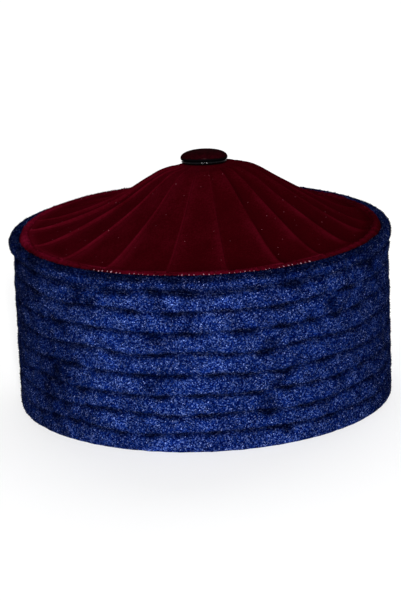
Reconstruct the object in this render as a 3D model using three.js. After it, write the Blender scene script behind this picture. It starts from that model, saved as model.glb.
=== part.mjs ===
// Skullcap: a quilted velvet band, a pleated velvet crown, a piped rim between them and a button on top.
// Millimetres, +Z up. The origin is the centre of the head opening, on the surface that the cap rests on,
// and the front of the cap is towards -Y.
import * as THREE from "three";

const DEG = Math.PI / 180;

// Band: a padded wall, quilted in rows between stitch lines that run round it.
const HEAD_GIRTH = 572; // inside the band, a medium adult size
const INNER_RADIUS = HEAD_GIRTH / (2 * Math.PI);
const STITCHED_WALL = 3.3; // thickness at a stitch line, where the padding is pressed flat
const BAND_HEIGHT = 87.2;
const REAR_RISE = 0.9; // how much the rim stands above that height at the back, and below it at the front
const FLARE = 0.5; // how much wider the hem is than the rim, on the radius
const HEM_ROUND = 0.8;
const HEM_FULLNESS = 0.6; // share of the lowest row's padding that is left at the hem
const BAND_SIDES = 56;
const QUILT_ROWS = [
  // from the hem up: height of the stitch line that closes the row, and how far its padding stands out
  { top: 9.0, padding: 0.6 },
  { top: 18.5, padding: 0.7 },
  { top: 28.0, padding: 0.7 },
  { top: 38.0, padding: 0.7 },
  { top: 48.5, padding: 0.7 },
  { top: 59.0, padding: 0.7 },
  { top: 69.5, padding: 0.6 },
  { top: 78.5, padding: 0.5 },
];
const ROW_STEPS = [0, 0.2, 0.5, 0.8]; // points on a row, as shares of its height
const ROW_FULLNESS = 2.6; // 2 is a round row, more is a flatter, fuller one

// Rolled edge: the top row turns over into the cap, and sags outwards at the sides, most of all on the left.
const ROLL_HALF_HEIGHT = 4.4;
const ROLL_START = -63; // degrees below the level of the roll's middle, at the last stitch line
const ROLL_END = 180; // where the roll meets the inner face
const ROLL_STEPS = 8;
const SAG_DEPTH = 1; // how far from the inner face the cloth begins to hang
const SAGS = [
  { lift: 2, at: 180 * DEG, spread: 32 * DEG, foot: 78.5, head: 91 },
  { lift: 1.3, at: 0, spread: 30 * DEG, foot: 72, head: 97 },
];

// Piping: a velvet roll that fills the seam between the crown and the band.
const PIPING_RADIUS = 2.2;
const PIPING_GAP = 0.4; // between the piping and the band
const PIPING_SINK = 2; // how far its middle lies below the rim
const PIPING_SIDES = 10;
const PIPING_STEPS = 48;
// The piping and the crown's edge stand up above the rolled edge at the back, most of all on the left.
const REAR_LIFT = { rise: 1.8, at: 125 * DEG, spread: 52 * DEG };

// Crown: one round of velvet in knife pleats that all lap the same way, sewn to the inside of the piping.
const SEAM_GAP = 0.3;
const CROWN_RADIUS = INNER_RADIUS - PIPING_GAP - 2 * PIPING_RADIUS - SEAM_GAP;
const CLOTH = 1.6;
const APEX = { x: 3.35, y: -1.5 }; // the button sits off centre
const LEAN = { x: 2.3, y: -0.8 }; // the crown's slope stands higher on the right and at the front
const LEAN_START = 0.15; // share of the radius where the slope begins to take that lean
const SEAT_SHARE = 0.11; // the flat seat under the button, as a share of the radius
const SEAT_TILT = 7 * DEG; // the seat and the button lean back
const TILT_REACH = 0.3; // share of the radius where the slope no longer follows that lean
// Where each fold of the front half meets the rim, in degrees from +X. They are laid by hand, so they vary.
// The back half has the same folds, half a turn on.
const FRONT_FOLDS = [178, 198, 218, 237.5, 258.5, 278, 296.5, 312.5, 329, 346];
const CROWN_RINGS = [
  // from the button out: share of the radius, height of the folds above the rim, depth of the folds, and how
  // much of the rear lift the ring takes
  { share: 0, rise: 32.2, fold: 0, rear: 0 },
  { share: SEAT_SHARE, rise: 32.2, fold: 0, rear: 0 },
  { share: 0.16, rise: 31.1, fold: 0.4, rear: 0 },
  { share: 0.22, rise: 31, fold: 0.7, rear: 0 },
  { share: 0.315, rise: 27.8, fold: 1.1, rear: 0 },
  { share: 0.475, rise: 19.3, fold: 1.4, rear: 0 },
  { share: 0.685, rise: 9.5, fold: 1.5, rear: 0.4 },
  { share: 0.87, rise: 2.1, fold: 1.3, rear: 1.3 },
  { share: 0.95, rise: 0, fold: 0.9, rear: 1.6 },
  { share: 1, rise: -0.5, fold: 0.5, rear: 1 },
];
const PLEAT_SECTION = [
  // across one pleat, from the fold before it to its own: share of its width, and of the fold's depth
  { along: 0.05, lift: 0 },
  { along: 0.35, lift: 0.42 },
  { along: 0.65, lift: 0.75 },
  { along: 0.93, lift: 0.98 },
  { along: 1, lift: 1 },
];

// Button: a flat domed cap on a collar, sewn down in the middle of the crown.
const BUTTON_SIDES = 28;
const SEW_GAP = 0.3;
const COLLAR_FOOT_RADIUS = 9.9;
const COLLAR_TOP_RADIUS = 10.9;
const COLLAR_BULGE_RADIUS = 12;
const COLLAR_HEIGHT = 1.7;
const CAP_RADIUS = 11.8;
const CAP_UNDERCUT = 1; // height from the cap's flat underside to its widest level
const CAP_DOME = 4.15; // height from its widest level to its top
const CAP_SEAT_RADIUS = 11.2;
const CAP_SHOULDER = 0.57; // how upright the dome leaves its widest level, as a share of its height
const CAP_FLATNESS = 0.64; // how flat the dome's top is, as a share of its radius

const MATERIALS = {
  bandVelvet: new THREE.MeshStandardMaterial({ color: 0x1a2a6c, roughness: 0.9, metalness: 0 }),
  crownVelvet: new THREE.MeshStandardMaterial({ color: 0x560613, roughness: 0.95, metalness: 0 }),
  pipingVelvet: new THREE.MeshStandardMaterial({ color: 0x6c0a1c, roughness: 0.95, metalness: 0 }),
  buttonGloss: new THREE.MeshStandardMaterial({ color: 0x4a0c10, roughness: 0.3, metalness: 0 }),
  collarGloss: new THREE.MeshStandardMaterial({ color: 0x0a090b, roughness: 0.15, metalness: 0 }),
};

// A closed or axis-to-axis profile of (radius, height) points turned about +Z. Each point of the lathe can be
// moved by place(step, index, point), where step counts round the axis and index along the profile.
function turned(profile, sides, place) {
  const geometry = new THREE.LatheGeometry(profile, sides);
  geometry.rotateX(Math.PI / 2);
  if (!place) return geometry;
  const position = geometry.getAttribute("position");
  const point = new THREE.Vector3();
  for (let vertex = 0; vertex < position.count; vertex++) {
    const step = Math.floor(vertex / profile.length) % sides;
    point.fromBufferAttribute(position, vertex);
    place(step, vertex % profile.length, point);
    position.setXYZ(vertex, point.x, point.y, point.z);
  }
  return geometry;
}

function closed(points) {
  return [...points, points[0].clone()];
}

// The band's wall in section: up the quilted outside, over the rolled edge and down the plain inside.
function bandSection() {
  const stitchRadius = (height) =>
    INNER_RADIUS + STITCHED_WALL + FLARE * (1 - height / BAND_HEIGHT);
  const points = [new THREE.Vector2(INNER_RADIUS + HEM_ROUND, 0)];
  let bottom = 0;
  for (const row of QUILT_ROWS) {
    for (const step of ROW_STEPS) {
      const height = bottom + step * (row.top - bottom);
      const bulge = height === 0 ? HEM_FULLNESS : 1 - Math.abs(2 * step - 1) ** ROW_FULLNESS;
      points.push(new THREE.Vector2(stitchRadius(height) + row.padding * bulge, height));
    }
    bottom = row.top;
  }
  const rollHalfWidth = (STITCHED_WALL + QUILT_ROWS[0].padding) / 2;
  for (let step = 0; step <= ROLL_STEPS; step++) {
    const angle = THREE.MathUtils.lerp(ROLL_START, ROLL_END, step / ROLL_STEPS) * DEG;
    points.push(
      new THREE.Vector2(
        INNER_RADIUS + rollHalfWidth * (1 + Math.cos(angle)),
        BAND_HEIGHT + ROLL_HALF_HEIGHT * (Math.sin(angle) - 1),
      ),
    );
  }
  points.push(new THREE.Vector2(INNER_RADIUS, BAND_HEIGHT / 2));
  points.push(new THREE.Vector2(INNER_RADIUS, HEM_ROUND));
  return closed(points);
}

// 1 at one turn about the axis, and falling away on both sides of it.
function fallOff(turn, at, spread) {
  return Math.exp((2 * (Math.cos(turn - at) - 1)) / spread ** 2);
}

// Lets the rolled edge hang outwards where it has come loose from its shape.
function sagRolledEdge(step, index, point) {
  const radius = Math.hypot(point.x, point.y);
  if (radius < INNER_RADIUS + SAG_DEPTH) return;
  const turn = Math.atan2(point.y, point.x);
  let scale = 1;
  for (const { lift, at, spread, foot, head } of SAGS) {
    const up = THREE.MathUtils.clamp((point.z - foot) / (head - foot), 0, 1);
    scale += (lift * fallOff(turn, at, spread) * Math.sin(Math.PI * up)) / radius;
  }
  point.x *= scale;
  point.y *= scale;
}

function band() {
  return turned(bandSection(), BAND_SIDES, sagRolledEdge);
}

// Every fold once round, with the last one again in front of the first.
function foldAngles() {
  const front = FRONT_FOLDS.map((degrees) => degrees * DEG);
  const back = front.map((turn) => turn + Math.PI);
  return [back.at(-1) - 2 * Math.PI, ...front, ...back];
}

// Nothing by the button and at the rim, and 1 at its most, a third of the way down the slope.
function slopeSwell(share) {
  const down = Math.max(0, (share - LEAN_START) / (1 - LEAN_START));
  return (27 / 4) * down * (1 - down) ** 2;
}

// How far the rear lift raises the piping at this turn about the axis.
function rearLift(turn) {
  return REAR_LIFT.rise * fallOff(turn, REAR_LIFT.at, REAR_LIFT.spread);
}

// How much the leaning seat raises a ring of the crown in front of the button, and lowers it behind.
function seatLean(share, y) {
  const hold = THREE.MathUtils.clamp((TILT_REACH - share) / (TILT_REACH - SEAT_SHARE), 0, 1);
  return Math.tan(SEAT_TILT) * (APEX.y - y) * hold;
}

// The crown is turned with one lathe step for each point of each pleat's section. The upper face is folded,
// and the under face runs plainly below the folds' valleys.
function crown() {
  const under = CROWN_RINGS;
  const upper = [...CROWN_RINGS].reverse();
  const rings = [...under, ...upper];
  const profile = rings.map((ring, index) => new THREE.Vector2(ring.share, index));
  const folds = foldAngles();
  const place = (step, index, point) => {
    const ring = rings[index];
    const pleat = Math.floor(step / PLEAT_SECTION.length);
    const { along, lift } = PLEAT_SECTION[step % PLEAT_SECTION.length];
    const turn = THREE.MathUtils.lerp(folds[pleat], folds[pleat + 1], along);
    const lean = (LEAN.x * Math.cos(turn) + LEAN.y * Math.sin(turn)) * slopeSwell(ring.share);
    const drop = index < under.length ? ring.fold + CLOTH : ring.fold * (1 - lift);
    point.x = (1 - ring.share) * APEX.x + ring.share * CROWN_RADIUS * Math.cos(turn);
    point.y = (1 - ring.share) * APEX.y + ring.share * CROWN_RADIUS * Math.sin(turn);
    const raised = ring.rear * rearLift(turn) + seatLean(ring.share, point.y);
    point.z = BAND_HEIGHT + ring.rise + lean + raised - drop;
  };
  return turned(profile, (folds.length - 1) * PLEAT_SECTION.length, place);
}

function piping() {
  const ringRadius = INNER_RADIUS - PIPING_GAP - PIPING_RADIUS;
  const height = BAND_HEIGHT - PIPING_SINK;
  const circle = new THREE.EllipseCurve(ringRadius, height, PIPING_RADIUS, PIPING_RADIUS);
  const place = (step, index, point) => {
    point.z += rearLift(Math.atan2(point.y, point.x));
  };
  return turned(circle.getPoints(PIPING_SIDES), PIPING_STEPS, place);
}

function collar() {
  const section = new THREE.Path().moveTo(0, 0).lineTo(COLLAR_FOOT_RADIUS, 0);
  section.quadraticCurveTo(COLLAR_BULGE_RADIUS, COLLAR_HEIGHT / 2, COLLAR_TOP_RADIUS, COLLAR_HEIGHT);
  section.lineTo(0, COLLAR_HEIGHT);
  return turned(section.getPoints(4), BUTTON_SIDES);
}

function cap() {
  const section = new THREE.Path().moveTo(0, 0).lineTo(CAP_SEAT_RADIUS, 0);
  section.quadraticCurveTo(CAP_RADIUS, 0, CAP_RADIUS, CAP_UNDERCUT);
  const top = CAP_UNDERCUT + CAP_DOME;
  const shoulder = CAP_UNDERCUT + CAP_SHOULDER * CAP_DOME;
  section.bezierCurveTo(CAP_RADIUS, shoulder, CAP_FLATNESS * CAP_RADIUS, top, 0, top);
  return turned(section.getPoints(5), BUTTON_SIDES);
}

// The whole cap stands on a level hem and rises evenly towards the back.
function raiseRear(geometry) {
  const position = geometry.getAttribute("position");
  for (let vertex = 0; vertex < position.count; vertex++) {
    const height = position.getZ(vertex);
    const back = position.getY(vertex) / INNER_RADIUS;
    position.setZ(vertex, height + (REAR_RISE * back * height) / BAND_HEIGHT);
  }
}

function piece(name, geometry, material) {
  raiseRear(geometry);
  const mesh = new THREE.Mesh(geometry, material);
  mesh.name = name;
  return mesh;
}

// Stands a piece of the button on the crown's seat, at its own height along the button's axis.
function onSeat(geometry, height) {
  geometry.translate(0, 0, height);
  geometry.rotateX(-SEAT_TILT);
  return geometry.translate(APEX.x, APEX.y, BAND_HEIGHT + CROWN_RINGS[0].rise);
}

const collarFoot = SEW_GAP;
const capFoot = collarFoot + COLLAR_HEIGHT + SEW_GAP;

const skullcap = new THREE.Group();
skullcap.add(
  piece("band", band(), MATERIALS.bandVelvet),
  piece("crown", crown(), MATERIALS.crownVelvet),
  piece("crown_piping", piping(), MATERIALS.pipingVelvet),
  piece("button_collar", onSeat(collar(), collarFoot), MATERIALS.collarGloss),
  piece("button_cap", onSeat(cap(), capFoot), MATERIALS.buttonGloss),
);

export default skullcap;
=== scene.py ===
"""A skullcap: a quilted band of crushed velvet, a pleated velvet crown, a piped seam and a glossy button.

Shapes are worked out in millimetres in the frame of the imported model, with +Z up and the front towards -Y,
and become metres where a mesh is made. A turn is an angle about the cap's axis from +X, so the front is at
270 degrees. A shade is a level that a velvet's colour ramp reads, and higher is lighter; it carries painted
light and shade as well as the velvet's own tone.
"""
import math

import bpy
import numpy as np
from mathutils import Matrix, Vector


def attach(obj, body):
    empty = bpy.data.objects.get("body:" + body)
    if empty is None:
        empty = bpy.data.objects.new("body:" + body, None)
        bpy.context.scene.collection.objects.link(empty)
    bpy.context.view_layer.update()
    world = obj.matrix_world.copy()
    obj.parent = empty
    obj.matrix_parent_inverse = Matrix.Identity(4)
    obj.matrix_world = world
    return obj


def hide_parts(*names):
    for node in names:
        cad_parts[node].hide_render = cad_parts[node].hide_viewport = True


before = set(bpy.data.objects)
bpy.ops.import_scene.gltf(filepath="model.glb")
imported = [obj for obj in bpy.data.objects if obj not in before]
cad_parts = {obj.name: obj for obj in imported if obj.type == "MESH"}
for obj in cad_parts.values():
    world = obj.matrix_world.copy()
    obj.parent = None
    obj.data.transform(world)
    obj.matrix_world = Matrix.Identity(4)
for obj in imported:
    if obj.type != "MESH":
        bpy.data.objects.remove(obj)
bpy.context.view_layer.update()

MM = 0.001
TAU = 2.0 * math.pi
UPWARD = np.array([0.0, 0.0, 1.0])

# Random fields and scatters, each with a seed that is added to the first one.
SEED = 1804
CLUMP_SEED = 59
BAND_PILE_SEED = 60
PIPING_PILE_SEED = 70
WHIP_SEED = 90
QUILT_STITCH_SEED = 95
WAVES = {
    # seed, number of sines, range of waves round the cap, range of slants in radians for each millimetre
    "stitch_drift": (10, 5, (2, 13), (0.0, 0.0)),
    "stitch_uneven": (20, 8, (30, 90), (0.0, 0.0)),
    "puff": (30, 14, (12, 45), (0.05, 0.3)),
    "dent": (31, 40, (25, 90), (0.1, 0.9)),
    "loose": (32, 5, (2, 9), (0.0, 0.0)),
    "stitches": (33, 3, (138, 146), (0.0, 0.0)),
    "swirl_round": (50, 24, (12, 60), (0.1, 0.6)),
    "swirl_up": (51, 24, (12, 60), (0.1, 0.6)),
    "drift": (52, 8, (3, 12), (0.02, 0.08)),
    "crush": (53, 40, (10, 60), (0.2, 0.9)),
    "patchy": (54, 12, (10, 45), (0.05, 0.25)),
    "flat": (55, 30, (8, 34), (0.08, 0.5)),
    "crown_dents": (70, 16, (3, 16), (0.02, 0.1)),
    "crown_slump": (71, 5, (3, 11), (0.0, 0.0)),
    "crown_light_and_shade": (72, 9, (5, 60), (0.05, 0.4)),
    "gathers": (80, 18, (60, 190), (0.0, 0.0)),
    "swell": (81, 6, (3, 20), (0.0, 0.0)),
}

# Band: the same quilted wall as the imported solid.
INNER_GIRTH = 572.0
INNER_RADIUS = INNER_GIRTH / TAU
STITCHED_WALL = 3.3
BAND_HEIGHT = 87.2
REAR_RISE = 0.9
FLARE = 0.5
HEM_ROUND = 0.8
HEM_FULLNESS = 0.6
ROW_FULLNESS = 2.6
QUILT_ROWS = (
    # height of the stitch line that closes the row, and how far its padding stands out
    (9.0, 0.6),
    (18.5, 0.7),
    (28.0, 0.7),
    (38.0, 0.7),
    (48.5, 0.7),
    (59.0, 0.7),
    (69.5, 0.6),
    (78.5, 0.5),
)
ROLL_HALF_WIDTH = 1.95
ROLL_HALF_HEIGHT = 4.4
ROLL_START = math.radians(-63.0)
ROLL_END = math.radians(180.0)
SAG_DEPTH = 1.0
SAGS = (
    # how far the edge hangs out, the turn and the spread in degrees, and the levels between which it hangs
    (2.0, 180.0, 32.0, 78.5, 91.0),
    (1.3, 0.0, 30.0, 72.0, 97.0),
)

# Hand quilting: how the stitch lines wander, how deep they draw the cloth in, and how the padding lies.
BAND_STEPS = 480
ROW_STEPS = 11
ROLL_STEPS = 18
ROLL_BARE_STEPS = 4
INSIDE_STEPS = 10
LINE_WANDER = 0.5
LINE_UNEVEN = 0.3
NO_LINE_NEAR = 99.0
CREASE_DEPTH = 0.7
CREASE_WIDTH = 0.7
STITCH_MARKS = 0.2
# widths of the painted crease shade above and below a stitch line
SHADE_OVER = 1.0
SHADE_UNDER = 1.6
PUFF_SHARE = 0.25
DENT_DEPTH = 0.22
PULLS_ROUND = 27
PULL_AT = math.radians(267.6)
PULL_DEPTH = 0.75
PULL_SHARPNESS = 1.5
PULL_USUAL = 0.7
PULL_SPREAD = 0.5
PULL_MOST = 1.2
PILE_ROOM = 0.45
SIDE_CALM = 0.62
SIDE_REACH = 3
ROLL_BLEND = 4.0
ROLL_DENTS = 0.5
ROLL_PILE = 0.7
ROLL_CREASE = 0.6
# how much painted crease shade the rolled edge takes by its stitch line
ROLL_CREASE_SHADE = 0.8
QUILT_STITCHES = 150
QUILT_THREAD = 0.2
QUILT_STITCH = 2.2
QUILT_SIDES = 5
QUILT_RINGS = 2
QUILT_STRAY = 0.06
QUILT_SLANT = 0.08
QUILT_SUNK = 0.1

# How light the crushed velvet looks from place to place: its own patches, and its painted shade.
VELVET_LEVEL = 0.51
DRIFT_SHADE = 0.03
CRUSH_SHADE = 0.05
FLAT_SHADE = 0.15
FLAT_FROM = 1.1
FLAT_LOW = 0.4
FLAT_MOST = 1.2
# painted shade in the creases, deeper in some patches than others
CREASE_SHADE = 0.42
PATCH_USUAL = 0.9
PATCH_SPREAD = 0.25
PATCH_RANGE = (0.4, 1.3)
ROLL_SHADES = (
    # painted shade on the rolled edge under the seam: how much darker it looks, at heights up to the seam
    (78.0, 80.0, 83.1, 85.1, 87.2),
    (0.0, 0.07, 0.09, 0.44, 0.50),
)
# less of the rolled edge's painted shade towards the sides
ROLL_SIDE_SHARE = 0.83
ROLL_SIDE_REACH = 4
SIDE_SHADES = (
    # painted shade towards the sides: side, the shares of the radius where it starts and is full, and its
    # depth
    (-1.0, 0.5, 0.86, 0.18),
    (1.0, 0.3, 0.95, 0.135),
)
PRESSED_SPOTS = (
    # turn in degrees, height, half width and half height, and how dark the pressed pile looks
    (219.5, 32.0, 4.5, 4.0, 0.34),
    (215.0, 23.5, 3.5, 3.0, 0.2),
    (232.0, 72.5, 9.0, 3.0, 0.2),
    (232.0, 13.0, 4.5, 3.0, 0.24),
    (256.0, 55.0, 6.0, 2.5, 0.22),
    (259.5, 38.7, 8.0, 1.6, 0.22),
    (265.0, 79.0, 6.0, 2.0, 0.25),
    (287.5, 20.5, 5.5, 5.5, 0.2),
    (290.5, 31.5, 4.0, 3.0, 0.26),
    (293.5, 8.0, 3.0, 2.5, 0.26),
    (310.5, 64.0, 4.5, 4.0, 0.28),
    # places where it stands up and looks lighter
    (238.0, 77.0, 7.0, 2.5, -0.1),
    (243.5, 14.5, 4.0, 3.5, -0.12),
    (253.0, 65.5, 8.0, 3.0, -0.1),
    (257.0, 5.0, 7.0, 3.0, -0.12),
    (261.0, 75.0, 4.0, 3.0, -0.16),
)
SPOT_EDGE = 1.5
SPOT_DEPTH = 1.2

# Pile: closed spikes that stand for the tufts of the velvet.
PILE_LAYERS = 3
TUFTS_A_PIECE = 48500
TUFT_LENGTH = (0.5, 0.95)
TUFT_WIDTH = (0.2, 0.34)
TUFT_SINK = 0.15
TUFT_TILT = 0.17
TUFT_STAND = 0.4
CREASE_SHORT = 0.45
LEAN_SWIRL = 0.5
LEAN_CLUMP = 0.4
LEAN_PATCH = 1.1
LEAN_DOWN = 0.5
LEAN_STRAY = 0.25
TIP_CLEARANCE = 0.15
FLOOR_CLEARANCE = 0.05
# each tuft's glint level: a random tone, and painted highlights on a few tufts
GLINT_CLUMP = 0.05
GLINT_PATCH = 0.9
GLINT_STRAY = 0.2
SPARK_LIGHT = 0.55
SPARK_SHARE = 0.025
# painted shade at the foot of each tuft
FOOT_SHADE = 0.1
CLUMP_WARP = 0.35
CLUMP_COUNT = 65521
CLUMP_PRIMES = (7919, 104729)

# Piping between the band and the crown, and the stitches that hold it.
PIPING_GAP = 0.4
PIPING_SUNK = 2.0
PIPING_RADIUS = 2.2
PIPING_RING = INNER_RADIUS - PIPING_GAP - PIPING_RADIUS
PIPING_HEIGHT = BAND_HEIGHT - PIPING_SUNK
PIPING_STEPS = 540
PIPING_SIDES = 18
PIPING_SPREAD = 1.3
PIPING_FOLLOW = 0.4
PIPING_CALM = 0.9
PIPING_GATHER = 0.12
PIPING_SWELL = 0.14
PIPING_UNDER = 2.0
PIPING_OUTER = 0.2
# painted light and shade on the roll: a lighter crest, a darker underside and darker stretches round it
PIPING_LIGHT = 0.34
PIPING_DARK = 0.3
PIPING_UNEVEN = 0.06
PIPING_CREST = math.radians(50.0)
PIPING_PLAIN = 0.3
PIPING_SHADES = (
    # painted shade: how much darker the roll looks, at turns in degrees
    (0.0, 20.0, 110.0, 150.0, 170.0, 190.0, 205.0, 220.0, 340.0, 360.0),
    (0.62, 0.64, 0.60, 0.30, 0.05, 0.04, 0.22, 0.30, 0.42, 0.62),
)
PIPING_EDGES = (
    # painted shade: how much darker the side against the band looks, at turns in degrees
    (0.0, 10.0, 180.0, 195.0, 205.0, 235.0, 255.0, 290.0, 310.0, 345.0, 360.0),
    (0.15, 0.0, 0.0, 0.15, 0.38, 0.38, 0.15, 0.15, 0.32, 0.32, 0.15),
)
PIPING_TUFTS = 16000
PIPING_TUFT_SIZE = 0.95
PIPING_TUFT_SPREAD = 0.7
REAR_LIFT = 1.8
REAR_LIFT_AT = math.radians(125.0)
REAR_LIFT_SPREAD = math.radians(52.0)
WHIP_PITCH = 2.4
WHIP_RADIUS = 0.24
WHIP_LENGTH = 0.5
WHIP_SIDES = 8
WHIP_RINGS = 6
WHIP_SIZES = (0.6, 1.25)
WHIP_STRAY = 0.14
WHIP_SCATTER = 0.12
WHIP_INSET = 0.1
WHIP_BELOW = 0.2
WHIP_SLANT = (0.2, 0.15)
WHIP_DIP = 0.15
WHIP_MISSING = 0.06
WHIP_HIDDEN = 0.56
WHIP_SUNK = 1.6
WHIP_SINK_FROM = 0.5

# Crown: knife pleats that all lap the same way round.
SEAM_GAP = 0.3
CROWN_RADIUS = PIPING_RING - PIPING_RADIUS - SEAM_GAP
CLOTH = 1.4
APEX = (3.35, -1.5)
LEAN = (2.3, -0.8)
LEAN_START = 0.15
# brings the top of the lean's curve to 1
LEAN_SCALE = 27.0 / 4.0
SEAT_SHARE = 0.11
SEAT_INSET = 0.02
CENTRE_SHARES = (0.02, 0.06)
EDGE_SHARE = 1.011
EDGE_LIP = 0.5
EDGE_LIP_WIDTH = 1.3
SEAT_TILT = math.radians(7.0)
TILT_REACH = 0.3
FRONT_FOLDS = (178.0, 198.0, 218.0, 237.5, 258.5, 278.0, 296.5, 312.5, 329.0, 346.0)
RISE_COLUMN = 1
FOLD_COLUMN = 2
LIFT_COLUMN = 3
CROWN_RINGS = (
    # share of the radius, height of the folds above the rim, depth of the folds, share of the rear lift
    (0.0, 32.2, 0.0, 0.0),
    (SEAT_SHARE, 32.2, 0.0, 0.0),
    (0.16, 31.1, 0.4, 0.0),
    (0.22, 31.0, 0.7, 0.0),
    (0.315, 27.8, 1.1, 0.0),
    (0.475, 19.3, 1.4, 0.0),
    (0.685, 9.5, 1.5, 0.4),
    (0.87, 2.1, 1.3, 1.3),
    (0.95, 0.0, 0.9, 1.6),
    (1.0, -0.5, 0.5, 1.0),
)
LAP_SHARE = 0.04
LAP_STEPS = 10
PANEL_STEPS = 26
PANEL_RISE = 1.43
CROWN_STEPS = 60
UNDER_STEPS = 18
SLUMP_SHARE = 0.12
DRAWN_FROM = 0.7
DRAWN_OVER = 0.2
DRAWN_SHARE = 0.8
SOFT_DENT = 0.22
SOFT_FOLD = 2.0

# Painted light and shade on the crown's velvet, from place to place.
FULL_SIDE = 0.45
CREST_LINE = 0.4
LINE_LIGHT = 0.07
GLOW_LIGHT = (0.155, 0.205)
GLOW_FRONT = 0.03
GLOW_WIDTH = 4.2
GLOW_FROM = (0.15, 0.8)
VALLEY_DARK = 0.21
VALLEY_LEFT = 0.22
VALLEY_SHADE = 4.0
# how unevenly the painted light and shade vary round the crown
PAINTED_LIGHT_SPREAD = 0.3
APEX_LIGHT = 0.14
APEX_REACH = 0.5
LEFT_LIGHT = 0.04
LAP_DARK = 0.18
LEFT_END = (0.6, 0.3)
RIGHT_END = (0.7, 0.25)
RIM_GLOW = (0.32, 1.5)
RIM_LEFT = (0.2, 2.6)
RIM_RIGHT = (-0.26, 3.0)
REAR_SLANT = 0.4
REAR_FADE = 1.8
REAR_DARK = 0.16
REAR_DARK_FROM = 0.4
REAR_DARK_OVER = 0.4

# Button: heights along its own axis, which leans back with the crown's seat.
SEAT_HEIGHT = BAND_HEIGHT + CROWN_RINGS[0][RISE_COLUMN]
BUTTON_GAP = 0.3
COLLAR_FOOT = BUTTON_GAP
COLLAR_HEIGHT = 1.7
COLLAR_RADII = (9.9, 12.0, 10.9)
CAP_FOOT = COLLAR_FOOT + COLLAR_HEIGHT + BUTTON_GAP
CAP_RADIUS = 11.8
CAP_SEAT_RADIUS = 11.2
CAP_UNDERCUT = 1.0
CAP_DOME = 4.15
CAP_SHOULDER = 0.57
CAP_FLATNESS = 0.64
# levels about the widest ring over which the cap's painted shade fades from full to none
CAP_SHADOW = (-0.7, 0.4)
FLAT_SHARE = 0.6
BUTTON_SIDES = 96
COLLAR_SIDES = 240
COLLAR_RIBS = 40
COLLAR_RIB_DEPTH = 0.05
COLLAR_CURVE_STEPS = 16
UNDERCUT_STEPS = 8
DOME_STEPS = 28

# Colours, in linear light.
# tuft colours along the glint level; the pale top stops are painted highlights
TUFT_STOPS = (
    (0.0, (0.0001, 0.0018, 0.0445)),
    (0.2, (0.0004, 0.0056, 0.0800)),
    (0.4, (0.0034, 0.0170, 0.1480)),
    (0.6, (0.0185, 0.0490, 0.2520)),
    (0.8, (0.1800, 0.2450, 0.5800)),
    (1.0, (0.8400, 1.0000, 2.0000)),
)
# tints along the shade level: the pile's own patches and its painted shade
SHADE_STOPS = (
    (0.0, (0.100, 0.080, 0.072)),
    (0.25, (0.205, 0.190, 0.188)),
    (0.5, (0.320, 0.350, 0.372)),
    (0.75, (0.410, 0.530, 0.635)),
    (1.0, (0.500, 0.720, 0.970)),
)
CROWN_STOPS = (
    (0.0, (0.006, 0.0001, 0.0003)),
    (0.4, (0.0165, 0.0002, 0.0009)),
    (0.7, (0.042, 0.0011, 0.0039)),
    (1.0, (0.095, 0.0050, 0.0145)),
)
PIPING_STOPS = (
    (0.0, (0.014, 0.0003, 0.0011)),
    (0.5, (0.050, 0.0010, 0.0050)),
    (1.0, (0.125, 0.0045, 0.0180)),
)
FLOOR_STOPS = (
    (0.3, (0.94, 0.94, 0.94)),
    (0.7, (0.97, 0.97, 0.97)),
)
LINT_COLOUR = (0.16, 0.05, 0.06, 1.0)
# the colour that the cap's painted shade reaches at its foot
BUTTON_BLACK = (0.0012, 0.0010, 0.0013)

# Studio, in metres.
FLOOR_SIDES = 96
FLOOR_RADIUS = 9.0
WORLD_LIGHT = 0.28


def fill_inputs(tree, made, inputs):
    """Sets each input of a node to a value, or links it to another node's output."""
    for name, value in inputs.items():
        if isinstance(value, bpy.types.NodeSocket):
            tree.links.new(value, made.inputs[name])
        else:
            made.inputs[name].default_value = value


def node(tree, kind, inputs=None, **settings):
    made = tree.nodes.new(kind)
    for name, value in settings.items():
        setattr(made, name, value)
    fill_inputs(tree, made, inputs or {})
    return made


def ramp(tree, factor, stops):
    """A colour ramp through (position, (red, green, blue)) stops."""
    made = node(tree, "ShaderNodeValToRGB", {"Fac": factor})
    elements = made.color_ramp.elements
    while len(elements) < len(stops):
        elements.new(0.5)
    for element, (position, colour) in zip(elements, stops):
        element.position = position
        element.color = (*colour, 1.0)
    return made.outputs["Color"]


def math_node(tree, operation, first, second, third=0.0):
    inputs = dict(enumerate((first, second, third)))
    return node(tree, "ShaderNodeMath", inputs, operation=operation).outputs["Value"]


def scaled(tree, value, by, plus=0.0):
    return math_node(tree, "MULTIPLY_ADD", value, by, plus)


def added(tree, first, second):
    return math_node(tree, "ADD", first, second)


def centred(tree, value):
    """A level from 0 to 1 as one from -0.5 to 0.5."""
    return math_node(tree, "SUBTRACT", value, 0.5)


def mixed(tree, first, second, share):
    """Two levels mixed, with a share of the first."""
    return scaled(tree, first, by=share, plus=scaled(tree, second, by=1.0 - share))


def new_material(name):
    """An empty material with its tree, its principled shader and the object's own coordinates."""
    material = bpy.data.materials.new(name)
    material.use_nodes = True
    tree = material.node_tree
    tree.nodes.clear()
    shader = node(tree, "ShaderNodeBsdfPrincipled")
    output = node(tree, "ShaderNodeOutputMaterial")
    tree.links.new(shader.outputs["BSDF"], output.inputs["Surface"])
    place = node(tree, "ShaderNodeTexCoord").outputs["Object"]
    return material, tree, shader, place


def noise(tree, place, scale, detail=2.0, roughness=0.5):
    inputs = {"Vector": place, "Scale": scale, "Detail": detail, "Roughness": roughness}
    return node(tree, "ShaderNodeTexNoise", inputs).outputs["Fac"]


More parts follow.
